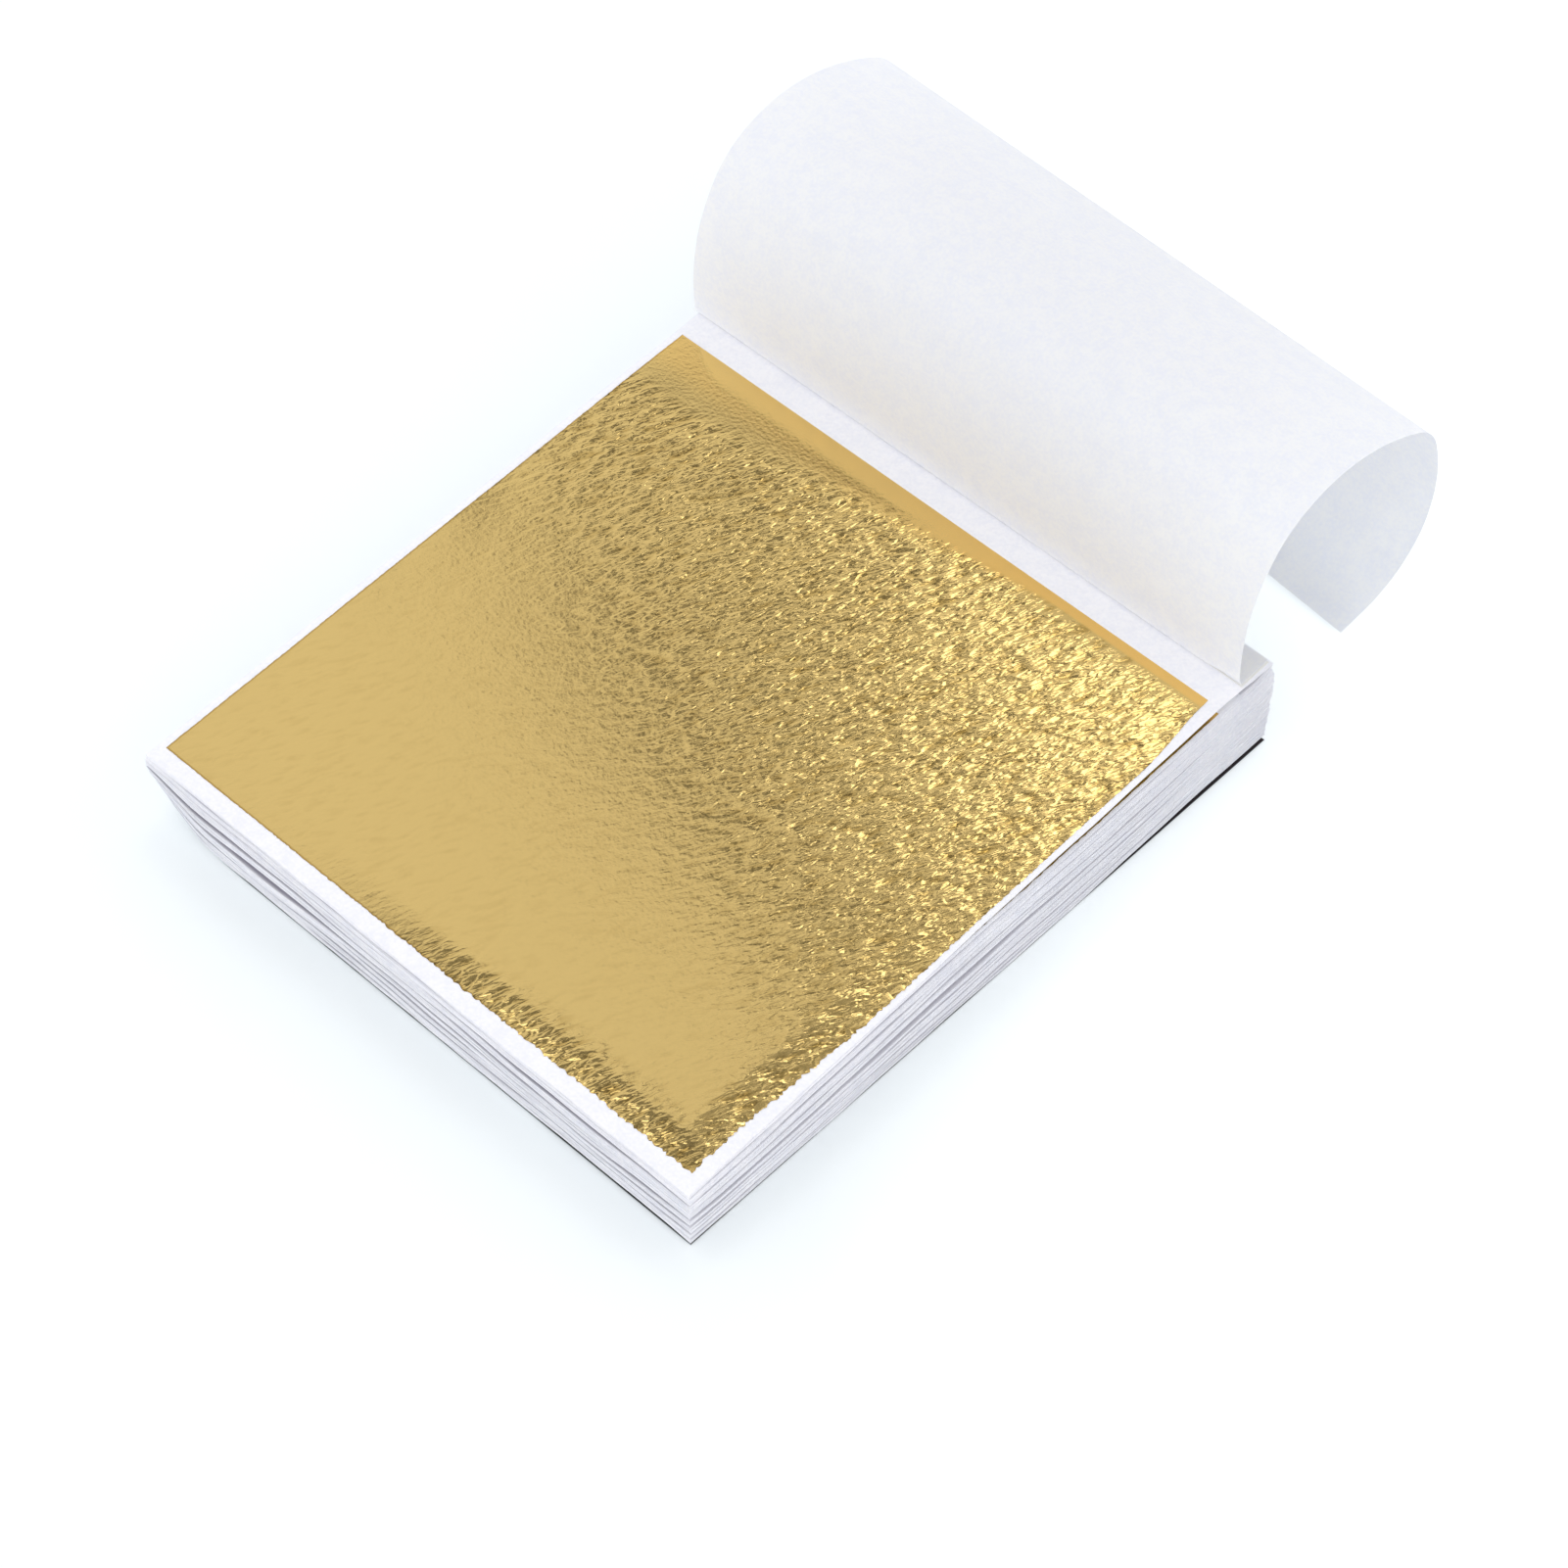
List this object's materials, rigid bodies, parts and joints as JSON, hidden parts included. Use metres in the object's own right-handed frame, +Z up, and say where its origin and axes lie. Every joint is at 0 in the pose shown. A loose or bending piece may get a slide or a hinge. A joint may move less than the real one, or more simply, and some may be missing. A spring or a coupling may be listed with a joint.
{
  "type": "gold leaf booklet",
  "caption": "Square booklet of tissue pages with loose gold leaves between them, glued along one edge, its top page turned back in a curl.",
  "frame": {"origin": "centre of the bottom page's underside", "axes": "+Z up through the stack, +X along the spine towards the picture's lower right, +Y from the fore edge to the spine"},
  "size_m": [0.0863, 0.1257, 0.0382],
  "materials": {
    "tissue_paper": "matte, slightly translucent tissue",
    "imitation_gold_leaf": "beaten metal leaf, crinkled, bright",
    "binding_glue": "dried white padding glue"
  },
  "bodies": {
    "bound_block": {"binding_glue": "binding_glue", "gold_leaf_bundle_01": "imitation_gold_leaf", "gold_leaf_bundle_02": "imitation_gold_leaf", "gold_leaf_bundle_03": "imitation_gold_leaf", "gold_leaf_bundle_04": "imitation_gold_leaf", "gold_leaf_bundle_05": "imitation_gold_leaf", "gold_leaf_bundle_06": "imitation_gold_leaf", "gold_leaf_bundle_07": "imitation_gold_leaf", "gold_leaf_bundle_08": "imitation_gold_leaf", "gold_leaf_bundle_09": "imitation_gold_leaf", "gold_leaf_bundle_10": "imitation_gold_leaf", "gold_leaf_bundle_11": "imitation_gold_leaf", "gold_leaf_bundle_12": "imitation_gold_leaf", "gold_leaf_bundle_13": "imitation_gold_leaf", "gold_leaf_bundle_14": "imitation_gold_leaf", "page_01_margin": "tissue_paper", "page_02_margin": "tissue_paper", "page_03_margin": "tissue_paper", "page_04_margin": "tissue_paper", "page_bundle_01": "tissue_paper", "page_bundle_02": "tissue_paper", "page_bundle_03": "tissue_paper", "page_bundle_04": "tissue_paper", "page_bundle_05": "tissue_paper", "page_bundle_06": "tissue_paper", "page_bundle_07": "tissue_paper", "page_bundle_08": "tissue_paper", "page_bundle_09": "tissue_paper", "page_bundle_10": "tissue_paper", "page_bundle_11": "tissue_paper", "page_bundle_12": "tissue_paper", "page_bundle_13": "tissue_paper", "page_bundle_14": "tissue_paper"},
    "page_01_strip_01_body": {"page_01_strip_01": "tissue_paper"},
    "page_01_strip_02_body": {"page_01_strip_02": "tissue_paper"},
    "page_01_strip_03_body": {"page_01_strip_03": "tissue_paper"},
    "page_01_strip_04_body": {"page_01_strip_04": "tissue_paper"},
    "page_01_strip_05_body": {"page_01_strip_05": "tissue_paper"},
    "page_01_strip_06_body": {"page_01_strip_06": "tissue_paper"},
    "page_01_strip_07_body": {"page_01_strip_07": "tissue_paper"},
    "page_01_strip_08_body": {"page_01_strip_08": "tissue_paper"},
    "page_01_strip_09_body": {"page_01_strip_09": "tissue_paper"},
    "page_01_strip_10_body": {"page_01_strip_10": "tissue_paper"},
    "page_01_strip_11_body": {"page_01_strip_11": "tissue_paper"},
    "page_01_strip_12_body": {"page_01_strip_12": "tissue_paper"},
    "page_02_body": {"page_02": "tissue_paper"},
    "page_03_body": {"page_03": "tissue_paper"},
    "page_04_body": {"page_04": "tissue_paper"},
    "gold_leaf_01_body": {"gold_leaf_01": "imitation_gold_leaf"},
    "gold_leaf_02_body": {"gold_leaf_02": "imitation_gold_leaf"},
    "gold_leaf_03_body": {"gold_leaf_03": "imitation_gold_leaf"},
    "gold_leaf_04_body": {"gold_leaf_04": "imitation_gold_leaf"}
  },
  "joints": [
    {"name": "page_01_turn", "type": "hinge", "parent": "bound_block", "child": "page_01_strip_01_body", "pos_m": [0.0419, 0.041, 0.01357], "axis": [-1, 0, 0], "range_deg": [-91.85, 0]},
    {"name": "page_01_bend_02", "type": "hinge", "parent": "page_01_strip_01_body", "child": "page_01_strip_02_body", "pos_m": [0.0419, 0.04087, 0.02083], "axis": [-1, -0.0001, 0.0061], "range_deg": [-14.01, 0]},
    {"name": "page_01_bend_03", "type": "hinge", "parent": "page_01_strip_02_body", "child": "page_01_strip_03_body", "pos_m": [0.0419, 0.04251, 0.02791], "axis": [-0.9999, 0.0013, 0.012], "range_deg": [-20.01, 0]},
    {"name": "page_01_bend_04", "type": "hinge", "parent": "page_01_strip_03_body", "child": "page_01_strip_04_body", "pos_m": [0.04189, 0.04647, 0.03401], "axis": [-0.9998, 0.0046, 0.0171], "range_deg": [-36.01, 0]},
    {"name": "page_01_bend_05", "type": "hinge", "parent": "page_01_strip_04_body", "child": "page_01_strip_05_body", "pos_m": [0.04183, 0.05325, 0.03661], "axis": [-0.9998, 0.0102, 0.0192], "range_deg": [-26.01, 0]},
    {"name": "page_01_bend_06", "type": "hinge", "parent": "page_01_strip_05_body", "child": "page_01_strip_06_body", "pos_m": [0.04172, 0.06049, 0.03598], "axis": [-0.9997, 0.0163, 0.0187], "range_deg": [-17.01, 0]},
    {"name": "page_01_bend_07", "type": "hinge", "parent": "page_01_strip_06_body", "child": "page_01_strip_07_body", "pos_m": [0.04156, 0.06722, 0.03326], "axis": [-0.9996, 0.0219, 0.0164], "range_deg": [-11.01, 0]},
    {"name": "page_01_bend_08", "type": "hinge", "parent": "page_01_strip_07_body", "child": "page_01_strip_08_body", "pos_m": [0.04136, 0.07332, 0.02931], "axis": [-0.9995, 0.027, 0.0131], "range_deg": [-36.01, 0]},
    {"name": "page_01_bend_09", "type": "hinge", "parent": "page_01_strip_08_body", "child": "page_01_strip_09_body", "pos_m": [0.04103, 0.07593, 0.02254], "axis": [-0.9995, 0.0291, 0.0075], "range_deg": [-13.01, 0]},
    {"name": "page_01_bend_10", "type": "hinge", "parent": "page_01_strip_09_body", "child": "page_01_strip_10_body", "pos_m": [0.04066, 0.07695, 0.01535], "axis": [-0.9995, 0.03, 0.0015], "range_deg": [-17.01, 0]},
    {"name": "page_01_bend_11", "type": "hinge", "parent": "page_01_strip_10_body", "child": "page_01_strip_11_body", "pos_m": [0.04021, 0.07582, 0.00819], "axis": [-0.9996, 0.029, -0.0045], "range_deg": [-31.01, 0]},
    {"name": "page_01_bend_12", "type": "hinge", "parent": "page_01_strip_11_body", "child": "page_01_strip_12_body", "pos_m": [0.03966, 0.07117, 0.00263], "axis": [-0.9996, 0.0251, -0.0091], "range_deg": [-33.01, 0]},
    {"name": "page_04_lift", "type": "hinge", "parent": "bound_block", "child": "page_04_body", "pos_m": [0.0419, 0.041, 0.01343], "axis": [-1, 0, 0], "range_deg": [0, 15]},
    {"name": "page_03_lift", "type": "hinge", "parent": "page_04_body", "child": "page_03_body", "pos_m": [0.0419, 0.041, 0.01343], "axis": [-1, 0, 0], "range_deg": [0, 20]},
    {"name": "page_02_lift", "type": "hinge", "parent": "page_03_body", "child": "page_02_body", "pos_m": [0.0419, 0.041, 0.01343], "axis": [-1, 0, 0], "range_deg": [0, 40]},
    {"name": "gold_leaf_01_slide", "type": "slide", "parent": "page_02_body", "child": "gold_leaf_01_body", "axis": [0, -0.9988, -0.0492], "range_m": [0, 0.085]},
    {"name": "gold_leaf_02_slide", "type": "slide", "parent": "page_03_body", "child": "gold_leaf_02_body", "axis": [0, -0.9988, -0.0487], "range_m": [0, 0.085]},
    {"name": "gold_leaf_03_slide", "type": "slide", "parent": "page_04_body", "child": "gold_leaf_03_body", "axis": [0, -0.9988, -0.0482], "range_m": [0, 0.085]},
    {"name": "gold_leaf_04_slide", "type": "slide", "parent": "bound_block", "child": "gold_leaf_04_body", "axis": [0, -0.9989, -0.0477], "range_m": [0, 0.085]}
  ],
  "couplings": [
    {"joint": "page_01_bend_02", "follows": "page_01_turn", "ratio": 0.15242},
    {"joint": "page_01_bend_03", "follows": "page_01_turn", "ratio": 0.21775},
    {"joint": "page_01_bend_04", "follows": "page_01_turn", "ratio": 0.39194},
    {"joint": "page_01_bend_05", "follows": "page_01_turn", "ratio": 0.28307},
    {"joint": "page_01_bend_06", "follows": "page_01_turn", "ratio": 0.18508},
    {"joint": "page_01_bend_07", "follows": "page_01_turn", "ratio": 0.11976},
    {"joint": "page_01_bend_08", "follows": "page_01_turn", "ratio": 0.39194},
    {"joint": "page_01_bend_09", "follows": "page_01_turn", "ratio": 0.14153},
    {"joint": "page_01_bend_10", "follows": "page_01_turn", "ratio": 0.18508},
    {"joint": "page_01_bend_11", "follows": "page_01_turn", "ratio": 0.33751},
    {"joint": "page_01_bend_12", "follows": "page_01_turn", "ratio": 0.35928}
  ]
}
